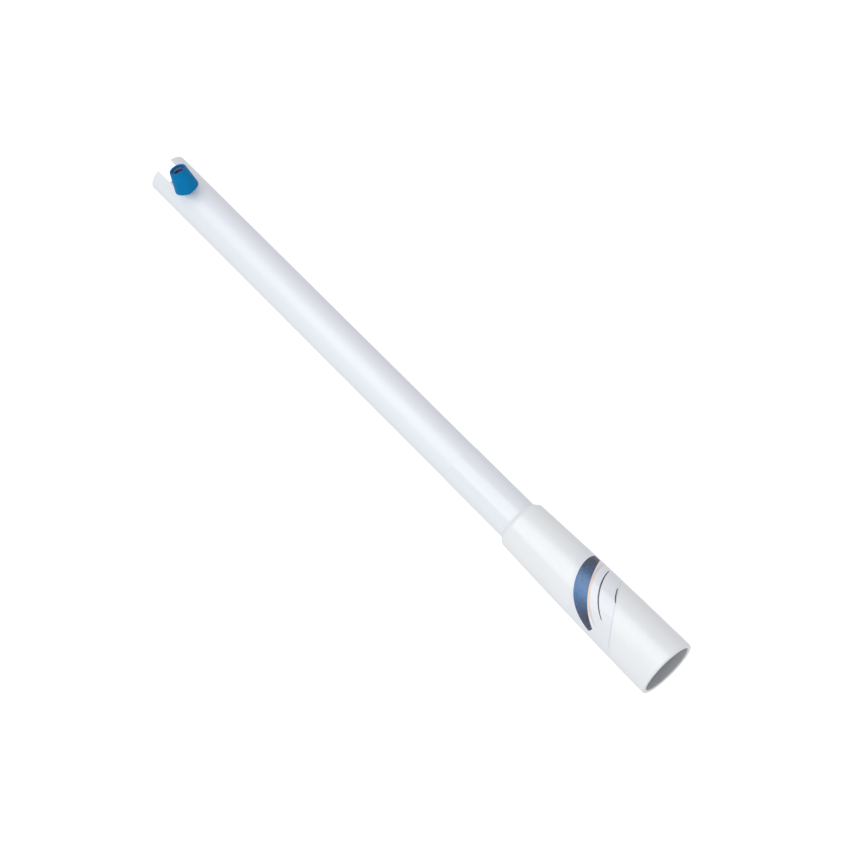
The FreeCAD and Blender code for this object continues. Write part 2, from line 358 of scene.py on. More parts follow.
def opened(angle, radius, half_width):
    """Column angle moved aside from the slot: fully at its edge, and not at all a quarter turn away."""
    edge = math.asin(half_width / radius)
    from_slot = min(angle, TURN - angle) / (math.pi / 2)
    share = 0.5 + 0.5 * math.cos(math.pi * min(1.0, from_slot))
    return angle + math.copysign(edge * share, math.pi - angle)


def tube_stations():
    """Stations along the tube: even in the whole part, and round the end of the slot."""
    slot_start = STEM_X - SLOT_RADIUS
    whole_step = (slot_start - TUBE_FOOT_X) / WHOLE_TUBE_STEPS
    whole = [TUBE_FOOT_X + whole_step * n for n in range(WHOLE_TUBE_STEPS)]
    quarter = [STEM_X - SLOT_RADIUS * math.cos(math.pi / 2 * n / SLOT_STEPS) for n in range(SLOT_STEPS)]
    straight = [STEM_X, (STEM_X + TIP_BORE_X) / 2, TIP_BORE_X]
    tip = [TIP_BORE_X + (TIP_X - TIP_BORE_X) * n / TIP_STEPS for n in range(1, TIP_STEPS + 1)]
    return whole + quarter + straight + tip


def tube_row(bm, x, radius):
    """Vertices round the tube at one station. Its last is its first again where the tube is whole."""
    half_width = slot_half_width(x)
    angles = [opened(TURN * n / TUBE_COLUMNS, radius, half_width) for n in range(TUBE_COLUMNS + 1)]
    verts = [bm.verts.new(on_mast(x, radius, angle)) for angle in angles[:-1]]
    last = bm.verts.new(on_mast(x, radius, angles[-1])) if half_width else verts[0]
    return verts + [last]


def tube_faces(bm, rows):
    """Quads between each row of the tube and the next."""
    for near, far in zip(rows, rows[1:]):
        for n in range(TUBE_COLUMNS):
            bm.faces.new((near[n], near[n + 1], far[n + 1], far[n]))


def slot_wall(bm, side, xs, outer, inner, step):
    """Wall down one side of the slot, and its edges in pairs of vertices. The bore steps at row step."""
    edges = [(outer[-1][side], inner[-1][side])]
    for n in range(len(xs) - 1):
        if slot_half_width(xs[n + 1]) == 0:
            continue
        outside = (outer[n][side], outer[n + 1][side])
        k = n if n < step else n + 1
        inside = (inner[k + 1][side], inner[k][side])
        corner = (inner[step][side],) if n == step else ()
        bm.faces.new(outside + inside + corner)
        edges += [outside, inside]
    return edges


def tube_mesh():
    """Slotted tube in even quads, with bevel weights on the edges of its slot, tip and foot."""
    bm = bmesh.new()
    weight = bm.edges.layers.float.new("bevel_weight_edge")
    xs = tube_stations()
    step = xs.index(TIP_BORE_X)
    outer = [tube_row(bm, x, TUBE_RADIUS) for x in xs]
    inner = [tube_row(bm, x, BORE_RADIUS) for x in xs[: step + 1]]
    inner += [tube_row(bm, x, TIP_BORE_RADIUS) for x in xs[step:]]
    for rows in (outer, inner, (outer[0], inner[0]), (outer[-1], inner[-1])):
        tube_faces(bm, rows)
    edges = []
    for side in (0, TUBE_COLUMNS):
        edges += slot_wall(bm, side, xs, outer, inner, step)
    for rim in (outer[-1], inner[-1], outer[0]):
        edges += zip(rim, rim[1:])
    for pair in edges:
        bm.edges.get(pair)[weight] = 1.0
    return to_mesh(bm, "tube_shell")


# ---------------------------------------------------------------- sleeve and ferrule


def sleeve_mesh():
    """Thin sleeve with a rounded lip whose edge wanders a little, as a shrunk sleeve's does."""
    corners = [
        (TUBE_FOOT_X, SLEEVE_BORE_RADIUS, 0),
        (TUBE_FOOT_X, SLEEVE_RADIUS, 0),
        (FERRULE_TOP_X, SLEEVE_RADIUS, 0),
        (SLEEVE_TOP_X - SLEEVE_LIP_LENGTH, SLEEVE_RADIUS, 0),
        (SLEEVE_TOP_X, SLEEVE_RADIUS, 0.14),
        (SLEEVE_TOP_X, SLEEVE_BORE_RADIUS, 0.05),
    ]
    outline = rounded(corners)

    def wandering(along, radius, angle):
        drift = SLEEVE_WANDER * (math.sin(2 * angle + 0.7) + 0.5 * math.sin(5 * angle))
        share = max(0.0, along - (SLEEVE_TOP_X - 1.0))
        return on_mast(along - share * abs(drift), radius, angle)

    return to_mesh(lathe(outline, wandering, evenly(128)), "sleeve_skin")


def ferrule_outline():
    """Section of the shell, from the top of its neck down the inside to its mouth, and back up the flank."""
    flank_start, flank_end = MOUTH_X + 2.0, SHOULDER_X - 3.0
    flank = [flank_start + (flank_end - flank_start) * n / FLANK_STEPS for n in range(FLANK_STEPS + 1)]
    seal_x = (SEAL_START_X + SEAL_END_X) / 2
    channel_start, channel_end = seal_x - CHANNEL_HALF_WIDTH, seal_x + CHANNEL_HALF_WIDTH
    channel_radius = NECK_RADIUS + CHANNEL_DEPTH
    pocket_x = TUBE_FOOT_X - FIT_GAP
    groove_start = RING_START_X - FIT_GAP
    groove_radius = RING_RADII[1] + FIT_GAP
    corners = [
        (FERRULE_TOP_X, NECK_RADIUS + NECK_RIM, 0.12),
        (FERRULE_TOP_X, NECK_RADIUS, 0.1),
        (channel_end, NECK_RADIUS, 0),
        (channel_end, channel_radius, 0.1),
        (channel_start, channel_radius, 0.1),
        (channel_start, NECK_RADIUS, 0),
        (pocket_x, NECK_RADIUS, 0.1),
        (pocket_x, POCKET_RADIUS, 0.1),
        (INSERT_START_X, POCKET_RADIUS, 0.1),
        (INSERT_START_X, groove_radius, 0.08),
        (groove_start, groove_radius, 0.08),
        (groove_start, SKIRT_RADIUS, 0.15),
        (MOUTH_X + SKIRT_EDGE_LENGTH, SKIRT_RADIUS, 0),
        (MOUTH_X, SKIRT_RADIUS, MOUTH_INNER_EDGE),
        (MOUTH_X, MOUTH_RADIUS, MOUTH_OUTER_EDGE),
    ]
    corners += [(x, flank_radius(x), 0) for x in flank]
    corners.append((SHOULDER_X, SHOULDER_RADIUS, SHOULDER_ROUNDING))
    return rounded(corners, 7)


def ferrule_mesh():
    """Moulded shell with a faint parting line down each side."""
    sides = (TURN / 4, TURN * 3 / 4)

    def off_side(angle):
        return min(abs(angle - side) for side in sides)

    def parting_line(along, radius, angle):
        if not MOUTH_X + 1.2 <= along <= SHOULDER_X or radius < flank_radius(along) - 0.5:
            return 0.0
        return PARTING_HEIGHT if off_side(angle) < PARTING_HALF_ANGLE / 2 else 0.0

    ridge = [side + PARTING_HALF_ANGLE * n for side in sides for n in (-1.6, -1, 0, 1, 1.6)]
    even = [angle for angle in evenly(144) if off_side(angle) > 2.2 * PARTING_HALF_ANGLE]
    angles = sorted(even + ridge)
    return to_mesh(lathe(ferrule_outline(), on_mast, angles, parting_line), "ferrule_body")


def paint_shade_inside(obj, material):
    """Gives the walls inside the ferrule a darker material, painted shade in the hollow of its mouth: all
    faces well below its flank.
    """
    obj.data.materials.append(material)
    for face in obj.data.polygons:
        centre = face.center / MM
        depth = flank_radius(centre.x) - math.hypot(centre.y, centre.z)
        if depth > 0.8 and MOUTH_X + 0.7 < centre.x < SHOULDER_X - 3:
            face.material_index = 1


# ---------------------------------------------------------------- inside the ferrule


def thread_groove():
    """Closed helical body that cuts the female thread."""
    bm = bmesh.new()
    start = INSERT_START_X - THREAD_PITCH
    turns = (INSERT_END_X - INSERT_START_X) / THREAD_PITCH + 2
    mouth_radius = THREAD_MINOR - CUTTER_OVERSHOOT
    root_half = THREAD_PITCH / 16
    mouth_half = root_half + (THREAD_MAJOR - mouth_radius) * math.tan(THREAD_FLANK)
    section = [
        (-mouth_half, mouth_radius),
        (-root_half, THREAD_MAJOR),
        (root_half, THREAD_MAJOR),
        (mouth_half, mouth_radius),
    ]
    rings = []
    for n in range(int(turns * THREAD_STEPS) + 1):
        angle = TURN * n / THREAD_STEPS
        x = start + THREAD_PITCH * n / THREAD_STEPS
        rings.append([bm.verts.new(on_mast(x + dx, radius, angle)) for dx, radius in section])
    for ring, follower in zip(rings, rings[1:]):
        for n in range(4):
            m = (n + 1) % 4
            bm.faces.new((ring[n], ring[m], follower[m], follower[n]))
    bm.faces.new(rings[0])
    bm.faces.new(rings[-1])
    return to_mesh(bm, "thread_groove")


def bush_mesh():
    """Knurled bush with a real one inch, fourteen threads per inch female thread."""
    corners = [
        (INSERT_START_X, THREAD_MINOR + THREAD_LEAD_IN, 0.08),
        (INSERT_START_X, INSERT_RADIUS, 0.2),
        (INSERT_END_X, INSERT_RADIUS, 0.2),
        (INSERT_END_X, THREAD_MINOR, 0.1),
        (INSERT_START_X + THREAD_LEAD_IN, THREAD_MINOR, 0.1),
    ]
    pitch = TURN / KNURLS
    groove_half = KNURL_RADIUS / INSERT_RADIUS
    across_groove = (-1, -0.7, -0.35, 0, 0.35, 0.7, 1)
    angles = [pitch * n + groove_half * share for n in range(KNURLS) for share in across_groove]

    def knurl(along, radius, angle):
        if radius < INSERT_RADIUS - 0.25:
            return 0.0
        off = abs((angle + pitch / 2) % pitch - pitch / 2) * INSERT_RADIUS
        return -math.sqrt(max(0.0, KNURL_RADIUS**2 - off**2))

    blank = to_mesh(lathe(rounded(corners, 2), on_mast, angles, knurl), "bush_blank")
    return combined(blank, thread_groove(), "DIFFERENCE")


def snap_ring_mesh():
    """Split spring ring with softened edges, its gap facing down."""
    inner, outer = RING_RADII
    corners = [
        (RING_START_X, inner, 0.15),
        (RING_START_X, outer, 0.15),
        (RING_END_X, outer, 0.15),
        (RING_END_X, inner, 0.15),
    ]
    start = math.pi + RING_GAP / 2
    steps = 120
    angles = [start + (TURN - RING_GAP) * n / steps for n in range(steps + 1)]
    return to_mesh(lathe(rounded(corners, 3), on_mast, angles, closed=False), "snap_ring")


def gasket_mesh():
    """Flat washer of rubber with rounded edges."""
    corners = [
        (GASKET_START_X, GASKET_BORE_RADIUS, 0.25),
        (GASKET_START_X, INSERT_RADIUS, 0.2),
        (GASKET_END_X, INSERT_RADIUS, 0.2),
        (GASKET_END_X, GASKET_BORE_RADIUS, 0.25),
    ]
    return to_mesh(lathe(rounded(corners, 4), on_mast, evenly(96)), "gasket_ring")


def neck_seal_mesh():
    """Round-section ring with a thin moulding flash on its two flat sides."""
    middle_x = (SEAL_START_X + SEAL_END_X) / 2
    wire = (SEAL_END_X - SEAL_START_X) / 2
    middle_radius = NECK_RADIUS + wire
    outline = []
    for angle in evenly(28):
        flash = FLASH_HEIGHT if abs(math.cos(angle)) > 0.99 else 0.0
        reach = wire - FLASH_HEIGHT + flash
        outline.append(Vector((middle_x + reach * math.cos(angle), middle_radius + reach * math.sin(angle))))
    return to_mesh(lathe(outline, on_mast, evenly(112)), "neck_ring")


# ---------------------------------------------------------------- cable outlet


def stem_mesh():
    """Hollow stem with a flange inside the tube, a neck in the slot and a snap head inside the boot."""
    corners = [
        (STEM_FOOT_Z, STEM_BORE_RADIUS, 0.2),
        (STEM_FOOT_Z, FLANGE_RADIUS, 0.45),
        (FLANGE_TOP_Z, FLANGE_RADIUS, 0.3),
        (FLANGE_TOP_Z, STEM_NECK_RADIUS, 0.3),
        (STEM_NECK_TOP_Z, STEM_NECK_RADIUS, 0.25),
        (STEM_NECK_TOP_Z, STEM_SPIGOT_RADIUS, 0.15),
        (HEAD_START_Z, STEM_SPIGOT_RADIUS, 0.05),
        (HEAD_START_Z, HEAD_RADIUS, 0.1),
        (HEAD_TOP_Z, STEM_SPIGOT_RADIUS, 0.2),
        (HEAD_TOP_Z, STEM_BORE_RADIUS, 0.15),
    ]
    return to_mesh(lathe(rounded(corners, 4), on_stem, evenly(80)), "stem_body")


def cuff_mesh():
    """Collar under the boot's leaning base, level below and cut to the base's plane on top."""
    bm = bmesh.new()
    lean = Vector((OUTLET_AXIS.x, OUTLET_AXIS.y, 0)).normalized()
    side = Vector((-lean.y, lean.x, 0))
    base_reach = BOOT_BASE_RADIUS * OUTLET_AXIS.z - CUFF_INSET
    base_offset = (Vector((STEM_X, 0, 0)) - BOOT_BASE).dot(lean)
    slope = math.hypot(OUTLET_AXIS.x, OUTLET_AXIS.y) / OUTLET_AXIS.z
    foot = (CUFF_RADIUS - CUFF_CHAMFER, SEAT_Z)
    chamfer = (CUFF_RADIUS, SEAT_Z + CUFF_CHAMFER)
    top = (CUFF_RADIUS, None)
    rings = []
    for radius, level_z in (foot, chamfer, top):
        ring = []
        for angle in evenly(CUFF_SIDES):
            along = min(base_offset + radius * math.cos(angle), base_reach)
            across = radius * math.sin(angle)
            plane_z = BOOT_BASE.z - slope * along + CUFF_OVERLAP / OUTLET_AXIS.z
            z = plane_z if level_z is None else min(level_z, plane_z - 0.01)
            spot = Vector((BOOT_BASE.x, BOOT_BASE.y, 0)) + lean * along + side * across
            ring.append(bm.verts.new((spot.x, spot.y, z)))
        rings.append(ring)
    for ring, follower in zip(rings, rings[1:]):
        for n in range(CUFF_SIDES):
            m = (n + 1) % CUFF_SIDES
            bm.faces.new((ring[n], ring[m], follower[m], follower[n]))
    bm.faces.new(rings[0])
    bm.faces.new(rings[-1])
    return to_mesh(bm, "cuff")


def plug_mesh(radius, low, high):
    """Upright round plug on the stem's axis, used to cut the boot's socket."""
    corners = [(low, 0, 0), (low, radius, 0), (high, radius, 0), (high, 0, 0)]
    return to_mesh(lathe(rounded(corners), on_stem, evenly(72)), "plug")


def boot_mesh():
    """Hollow leaning cone with rounded rims, its cuff, and the socket that turns on the stem."""
    cavity_top = BOOT_LENGTH - BOOT_LIP
    corners = [
        (0, 0, 0),
        (0, BOOT_BASE_RADIUS - 1.2, 0),
        (0, BOOT_BASE_RADIUS, 0.6),
        (BOOT_LENGTH * 0.5, boot_radius(BOOT_LENGTH * 0.5), 0),
        (BOOT_LENGTH, BOOT_TIP_RADIUS, 0.45),
        (BOOT_LENGTH, BOOT_HOLE_RADIUS, 0.4),
        (cavity_top, BOOT_HOLE_RADIUS, 0.08),
        (cavity_top, boot_radius(cavity_top) - BOOT_WALL, 0.06),
        (BOOT_FLOOR, boot_radius(BOOT_FLOOR) - BOOT_WALL, 0.5),
        (BOOT_FLOOR, 0, 0),
    ]
    body = to_mesh(lathe(rounded(corners, 6), on_boot, evenly(112)), "boot_body")
    body = combined(body, cuff_mesh(), "UNION")
    # Both plugs end at SOCKET_TOP, and the boolean leaves a disc of no thickness across the socket there.
    body = combined(body, plug_mesh(SOCKET_RADIUS, SEAT_Z - 1, SOCKET_TOP), "DIFFERENCE")
    return combined(body, plug_mesh(HEAD_ROOM_RADIUS, SOCKET_TOP, HEAD_ROOM_TOP), "DIFFERENCE")


def throat_seal_mesh():
    """Soft ring in the boot's throat, dished on top and with two wiping lips in its bore."""
    bottom = SEAL_TOP - SEAL_LENGTH
    gap = BOOT_WALL + FIT_GAP
    corners = [
        (bottom, boot_radius(bottom) - gap, 0.2),
        (SEAL_TOP, boot_radius(SEAL_TOP) - gap, 0.15),
        (SEAL_TOP, SEAL_DISH_RADIUS, 0.3),
        (SEAL_TOP - 0.6, SEAL_LIP_RADIUS, 0.12),
        (SEAL_TOP - 1.2, SEAL_LIP_RADIUS, 0.1),
        (SEAL_TOP - 1.5, SEAL_WAIST_RADIUS, 0.1),
        (SEAL_TOP - 2.1, SEAL_WAIST_RADIUS, 0.1),
        (SEAL_TOP - 2.4, SEAL_LIP_RADIUS, 0.1),
        (SEAL_TOP - 3.1, SEAL_LIP_RADIUS, 0.12),
        (bottom, SEAL_FOOT_RADIUS, 0.2),
    ]
    return to_mesh(lathe(rounded(corners, 4), on_boot, evenly(80)), "throat_seal")


# ---------------------------------------------------------------- label


def on_flank(round_mm, x, lift):
    """Point above the ferrule's flank, a distance round it from the top and at a station along it."""
    radius = flank_radius(x)
    return on_mast(x, radius + lift, round_mm / radius)


def slanted_x(across, angle):
    """Station of a line of the slanting film, in a few passes because the flank's radius varies along it."""
    start = FILM_MIDDLE_X + across
    x = start
    for _ in range(3):
        x = start + FILM_SLANT * flank_radius(x) * math.sin(angle)
    return x


def film_grid(bm, lift):
    """Vertices of one face of the film, in lines across it. The ends narrow, and the top face is smaller."""
    grid = []
    for n in range(FILM_COLUMNS + 1):
        angle = -FILM_SPAN / 2 + FILM_SPAN * n / FILM_COLUMNS
        past = max(0.0, abs(n / FILM_COLUMNS - 0.5) - (0.5 - FILM_END_SHARE))
        ease = 1 - FILM_END_NARROWING * past / FILM_END_SHARE
        line = []
        for m in range(FILM_ROWS + 1):
            across = (2 * m / FILM_ROWS - 1) * FILM_HALF_WIDTH * ease
            if lift > FILM_FOOT and m in (0, FILM_ROWS):
                across *= 1 - FILM_EDGE_STEP / FILM_HALF_WIDTH
            x = slanted_x(across, angle)
            line.append(bm.verts.new(on_mast(x, flank_radius(x) + lift, angle)))
        grid.append(line)
    return grid


def film_mesh():
    """Slanting strip of clear film wrapped on the flank, with its corners and edges eased."""
    bm = bmesh.new()
    low, high = [film_grid(bm, lift) for lift in (FILM_FOOT, FILM_LIFT)]
    for grid in (low, high):
        for near, far in zip(grid, grid[1:]):
            for m in range(FILM_ROWS):
                bm.faces.new((near[m], near[m + 1], far[m + 1], far[m]))
    for n in range(FILM_COLUMNS):
        for m in (0, FILM_ROWS):
            bm.faces.new((low[n][m], low[n + 1][m], high[n + 1][m], high[n][m]))
    for m in range(FILM_ROWS):
        for n in (0, FILM_COLUMNS):
            bm.faces.new((low[n][m], low[n][m + 1], high[n][m + 1], high[n][m]))
    return to_mesh(bm, "label_carrier")


def ribbon_mesh(name, path, lift=INK_LIFT):
    """Thin printed ribbon: path(share) gives its two edges as (round, along) points on the flank."""
    bm = bmesh.new()
    uv = bm.loops.layers.uv.new("along")
    steps, across = RIBBON_STEPS, RIBBON_COLUMNS
    rows = []
    for n in range(steps + 1):
        (r0, x0), (r1, x1) = path(n / steps)
        line = []
        for m in range(across + 1):
            share = m / across
            spot = (r0 + (r1 - r0) * share, x0 + (x1 - x0) * share)
            line.append([bm.verts.new(on_flank(*spot, height)) for height in (FILM_LIFT - 0.005, lift)])
        rows.append(line)

    def face(verts, shares):
        made = bm.faces.new(verts)
        for loop, share in zip(made.loops, shares):
            loop[uv].uv = share

    for n in range(steps):
        near, far = rows[n], rows[n + 1]
        ends = (n / steps, (n + 1) / steps)
        for m in range(across):
            sides = (m / across, (m + 1) / across)
            shares = [(ends[0], sides[0]), (ends[0], sides[1]), (ends[1], sides[1]), (ends[1], sides[0])]
            for layer in (0, 1):
                face([near[m][layer], near[m + 1][layer], far[m + 1][layer], far[m][layer]], shares)
        for m in (0, across):
            shares = [(end, m / across) for end in (ends[0], ends[0], ends[1], ends[1])]
            face([near[m][0], near[m][1], far[m][1], far[m][0]], shares)
    for n, share in ((0, 0.0), (steps, 1.0)):
        for m in range(across):
            low, high = rows[n][m], rows[n][m + 1]
            face([low[0], high[0], high[1], low[1]], [(share, 0.5)] * 4)
    return to_mesh(bm, name)


def arch_point(radius, angle):
    return (ARCH_CENTRE_ROUND + radius * math.sin(angle), ARCH_CENTRE_X + radius * math.cos(angle))


def arch_ribbon(name, radius, half_width, start, end, taper, lift):
    """Ribbon along the arch that thins towards its two ends."""

    def path(share):
        angle = start + (end - start) * share
        width = half_width * (1 - taper * abs(2 * share - 1) ** 2.2)
        return arch_point(radius - width, angle), arch_point(radius + width, angle)

    return ribbon_mesh(name, path, lift)


def border_mesh():
    """Hair line along the film's lower edge."""

    def path(share):
        angle = BORDER_START + (BORDER_END - BORDER_START) * share
        x = slanted_x(BORDER_INSET - FILM_HALF_WIDTH, angle)
        round_mm = flank_radius(x) * angle
        return (round_mm, x), (round_mm - 0.06, x + 0.16)

    return ribbon_mesh("label_border", path)


# ---------------------------------------------------------------- materials


# Blender's Mix node repeats its socket names for each data type, so its colour sockets go by number.
MIX_COLOURS = (6, 7)
MIX_RESULT = 2


class Nodes:
    """Short way to add and link the nodes of one material."""

    def __init__(self, name):
        self.material = bpy.data.materials.new(name)
        self.material.use_nodes = True
        self.tree = self.material.node_tree
        self.shader = self.tree.nodes["Principled BSDF"]
        self.coords = self.tree.nodes.new("ShaderNodeTexCoord")

    def link(self, source, target):
        self.tree.links.new(source, target)

    def drive(self, socket, source):
        """Links a source to a socket of the shader."""
        self.link(source, self.shader.inputs[socket])

    def noise(self, size, stretch=(1, 1, 1), detail=3.0, roughness=0.5):
        """Noise whose features are about the given size in millimetres, stretched along the axes."""
        mapping = self.tree.nodes.new("ShaderNodeMapping")
        mapping.inputs["Scale"].default_value = [1 / s for s in stretch]
        self.link(self.coords.outputs["Object"], mapping.inputs["Vector"])
        noise = self.tree.nodes.new("ShaderNodeTexNoise")
        noise.inputs["Scale"].default_value = 1 / (size * MM)
        noise.inputs["Detail"].default_value = detail
        noise.inputs["Roughness"].default_value = roughness
        self.link(mapping.outputs["Vector"], noise.inputs["Vector"])
        return noise.outputs["Fac"]

    def between(self, source, low, high, spread=0.2):
        """Maps a noise value round one half to a range."""
        node = self.tree.nodes.new("ShaderNodeMapRange")
        node.inputs["From Min"].default_value = 0.5 - spread
        node.inputs["From Max"].default_value = 0.5 + spread
        node.inputs["To Min"].default_value = low
        node.inputs["To Max"].default_value = high
        self.link(source, node.inputs["Value"])
        return node.outputs["Result"]

    def blend(self, share, first, second):
        node = self.tree.nodes.new("ShaderNodeMix")
        node.data_type = "RGBA"
        self.link(share, node.inputs["Factor"])
        for value, number in zip((first, second), MIX_COLOURS):
            socket = node.inputs[number]
            if isinstance(value, tuple):
                socket.default_value = (*value, 1)
            else:
                self.link(value, socket)
        return node.outputs[MIX_RESULT]

    def bump(self, heights):
        """Bump from (height source, height in millimetres) pairs, one on another."""
        previous = None
        for source, height in heights:
            node = self.tree.nodes.new("ShaderNodeBump")
            node.inputs["Strength"].default_value = 1.0
            node.inputs["Distance"].default_value = height * MM
            self.link(source, node.inputs["Height"])
            if previous:
                self.link(previous.outputs["Normal"], node.inputs["Normal"])
            previous = node
        self.drive("Normal", previous.outputs["Normal"])

    def set(self, **values):
        for key, value in values.items():
            self.shader.inputs[key.replace("_", " ")].default_value = value


def moulded(name, colours, roughness, spread, mottle, grain, height, stretch=(1, 1, 1), **constants):
    """Moulded or drawn plastic: slight mottling, uneven gloss and a fine grain. Sizes are in millimetres."""
    nodes = Nodes(name)
    mottling = nodes.between(nodes.noise(mottle, stretch), 0, 1)
    nodes.drive("Base Color", nodes.blend(mottling, *colours))
    uneven = nodes.noise(mottle * 0.4, stretch, 4.0, 0.6)
    nodes.drive("Roughness", nodes.between(uneven, roughness - spread, roughness + spread))
    waves = nodes.noise(mottle * 0.6, stretch, 2.0)
    nodes.bump([(waves, height * 2), (nodes.noise(grain, stretch, 2.0), height)])
    nodes.set(**constants)
    return nodes.material


def turned_metal(name, colours, roughness):
    """Lathe-turned metal: fine rings round the mast's axis."""
    nodes = Nodes(name)
    rings = nodes.noise(0.5, (0.25, 40, 40), 3.0, 0.7)
    nodes.drive("Base Color", nodes.blend(nodes.between(nodes.noise(5.0), 0, 1), *colours))
    nodes.drive("Roughness", nodes.between(rings, roughness - 0.08, roughness + 0.1))
    nodes.bump([(rings, 0.006)])
    nodes.set(Metallic=1.0)
    return nodes.material


def printed(name, ends, middle, roughness=0.32):
    """Printing ink that shifts from one colour at the ribbon's ends to another at its middle."""
    nodes = Nodes(name)
    split = nodes.tree.nodes.new("ShaderNodeSeparateXYZ")
    nodes.link(nodes.coords.outputs["UV"], split.inputs["Vector"])
    ramp = nodes.tree.nodes.new("ShaderNodeValToRGB")
    ramp.color_ramp.interpolation = "EASE"
    for element, position in zip(ramp.color_ramp.elements, (0.12, 0.9)):
        element.position = position
        element.color = (*ends, 1)
    ramp.color_ramp.elements.new(0.47).color = (*middle, 1)
    nodes.link(split.outputs["X"], ramp.inputs["Fac"])
    faded = nodes.between(nodes.noise(1.2, detail=4.0), 0, 0.1)
    worn_colour = (0.5, 0.52, 0.58)
    nodes.drive("Base Color", nodes.blend(faded, ramp.outputs["Color"], worn_colour))
    nodes.drive("Roughness", nodes.between(nodes.noise(0.6), roughness - 0.06, roughness + 0.06))
    nodes.bump([(nodes.noise(0.25), 0.003)])
    return nodes.material


def white_fibreglass():
    colours = (0.775, 0.80, 0.84), (0.76, 0.785, 0.825)
    gloss = {"roughness": 0.40, "spread": 0.06}
    drawn = (12, 1, 1)
    return moulded("white_fibreglass", colours, mottle=14, grain=0.5, height=0.004, stretch=drawn, **gloss)


def white_gloss():
    colours = (0.775, 0.80, 0.845), (0.765, 0.79, 0.83)
    gloss = {"roughness": 0.13, "spread": 0.02}
    return moulded("white_gloss", colours, mottle=16, grain=1.2, height=0.003, stretch=(4, 1, 1), **gloss)


def white_nylon():
    colours = (0.795, 0.81, 0.825), (0.785, 0.80, 0.812)
    gloss = {"roughness": 0.24, "spread": 0.02}
    return moulded("white_nylon", colours, mottle=12, grain=0.6, height=0.002, stretch=(2, 1, 1), **gloss)


# Rougher, darker copy of the white nylon: its darker colour is painted shade for the walls inside the
# ferrule's mouth.
def rough_nylon_painted_shade():
    colours = (0.54, 0.55, 0.57), (0.50, 0.51, 0.53)
    gloss = {"roughness": 0.4, "spread": 0.06}
    return moulded("rough_nylon_painted_shade", colours, mottle=10, grain=0.7, height=0.005, **gloss)


def clear_film():
    """Film in the white of the shell under it, since clear film shows only by its gloss."""
    colours = (0.765, 0.785, 0.82), (0.755, 0.775, 0.81)
    gloss = {"roughness": 0.16, "spread": 0.02}
    return moulded("clear_film", colours, mottle=9, grain=0.8, height=0.002, **gloss)


def black_rubber():
    colours = (0.025, 0.025, 0.027), (0.04, 0.04, 0.042)
    gloss = {"roughness": 0.62, "spread": 0.1}
    return moulded("black_rubber", colours, mottle=3, grain=0.15, height=0.01, **gloss)


def blue_nylon():
    colours = (0.004, 0.11, 0.24), (0.006, 0.13, 0.28)
    gloss = {"roughness": 0.4, "spread": 0.06}
    return moulded("blue_nylon", colours, mottle=4, grain=0.3, height=0.004, **gloss)


def blue_elastomer():
    """Matt blue whose weak reflections keep it as deep as in the photo."""
    colours = (0.0, 0.16, 0.39), (0.0, 0.178, 0.415)
    gloss = {"roughness": 0.5, "spread": 0.07, "Specular_IOR_Level": 0.08}
    return moulded("blue_elastomer", colours, mottle=5, grain=0.22, height=0.006, **gloss)


def dark_soft_rubber():
    colours = (0.06, 0.075, 0.19), (0.045, 0.06, 0.16)
    gloss = {"roughness": 0.55, "spread": 0.08}
    return moulded("dark_soft_rubber", colours, mottle=2, grain=0.15, height=0.006, **gloss)


def turned_steel():
    return turned_metal("turned_steel", ((0.62, 0.61, 0.58), (0.55, 0.54, 0.52)), roughness=0.3)


def spring_steel():
    return turned_metal("spring_steel", ((0.42, 0.42, 0.43), (0.3, 0.3, 0.32)), roughness=0.38)


# ---------------------------------------------------------------- pieces


def build_mast():
    rubber = black_rubber()
    piece("tube_shell", tube_mesh(), "mast", white_fibreglass(), ["mast_tube"], bevel=TUBE_EDGE_BEVEL)
    piece("sleeve_skin", sleeve_mesh(), "mast", white_gloss(), ["root_sleeve"])
    ferrule = piece("ferrule_body", ferrule_mesh(), "mast", white_nylon(), ["ferrule_shell"])
    # The ferrule's inner walls get a darker material, painted shade inside its mouth.
    paint_shade_inside(ferrule, rough_nylon_painted_shade())
    piece("threaded_bush", bush_mesh(), "mast", turned_steel(), ["thread_insert"], crisp=25)
    piece("snap_ring", snap_ring_mesh(), "mast", spring_steel(), ["insert_retaining_ring"])
    piece("gasket_ring", gasket_mesh(), "mast", rubber, ["seat_gasket"])
    piece("neck_ring", neck_seal_mesh(), "mast", rubber, ["neck_seal"])


def build_outlet():
    piece("stem_body", stem_mesh(), "outlet", blue_nylon(), ["outlet_stem"])
    piece("boot_body", boot_mesh(), "boot", blue_elastomer(), ["cable_boot"])
    piece("throat_seal", throat_seal_mesh(), "boot", dark_soft_rubber(), ["boot_seal"])


def build_label():
    """Film and its printing: an arched stripe with a halo, a thin line and a dash inside it, and a border."""
    ink = printed("navy_ink", (0.03, 0.036, 0.075), (0.045, 0.15, 0.34))
    glow = printed("peach_ink", (0.72, 0.58, 0.52), (0.8, 0.62, 0.5))
    fine = printed("black_ink", (0.03, 0.033, 0.05), (0.03, 0.04, 0.06))
    pale = printed("grey_ink", (0.5, 0.51, 0.55), (0.52, 0.53, 0.57))
    piece("label_carrier", film_mesh(), "mast", clear_film(), ["label_film"])
    for name, inset, half_width, start, end, taper, lift, colour in (
        ("label_halo", 4.9, 0.75, ARCH_START, ARCH_END, 0.7, HALO_LIFT, glow),
        ("label_stripe", 0.0, 4.2, ARCH_START, ARCH_END, 0.55, INK_LIFT, ink),
        ("label_rule", 10.2, 0.42, math.radians(-63), math.radians(-8), 0.5, INK_LIFT, fine),
        ("label_dash", 19.5, 0.35, math.radians(-48), math.radians(-26), 0.3, INK_LIFT, fine),
    ):
        ribbon = arch_ribbon(name, ARCH_RADIUS - inset, half_width, start, end, taper, lift)
        piece(name, ribbon, "mast", colour)
    piece("label_border", border_mesh(), "mast", pale)


# ---------------------------------------------------------------- floor, light and camera


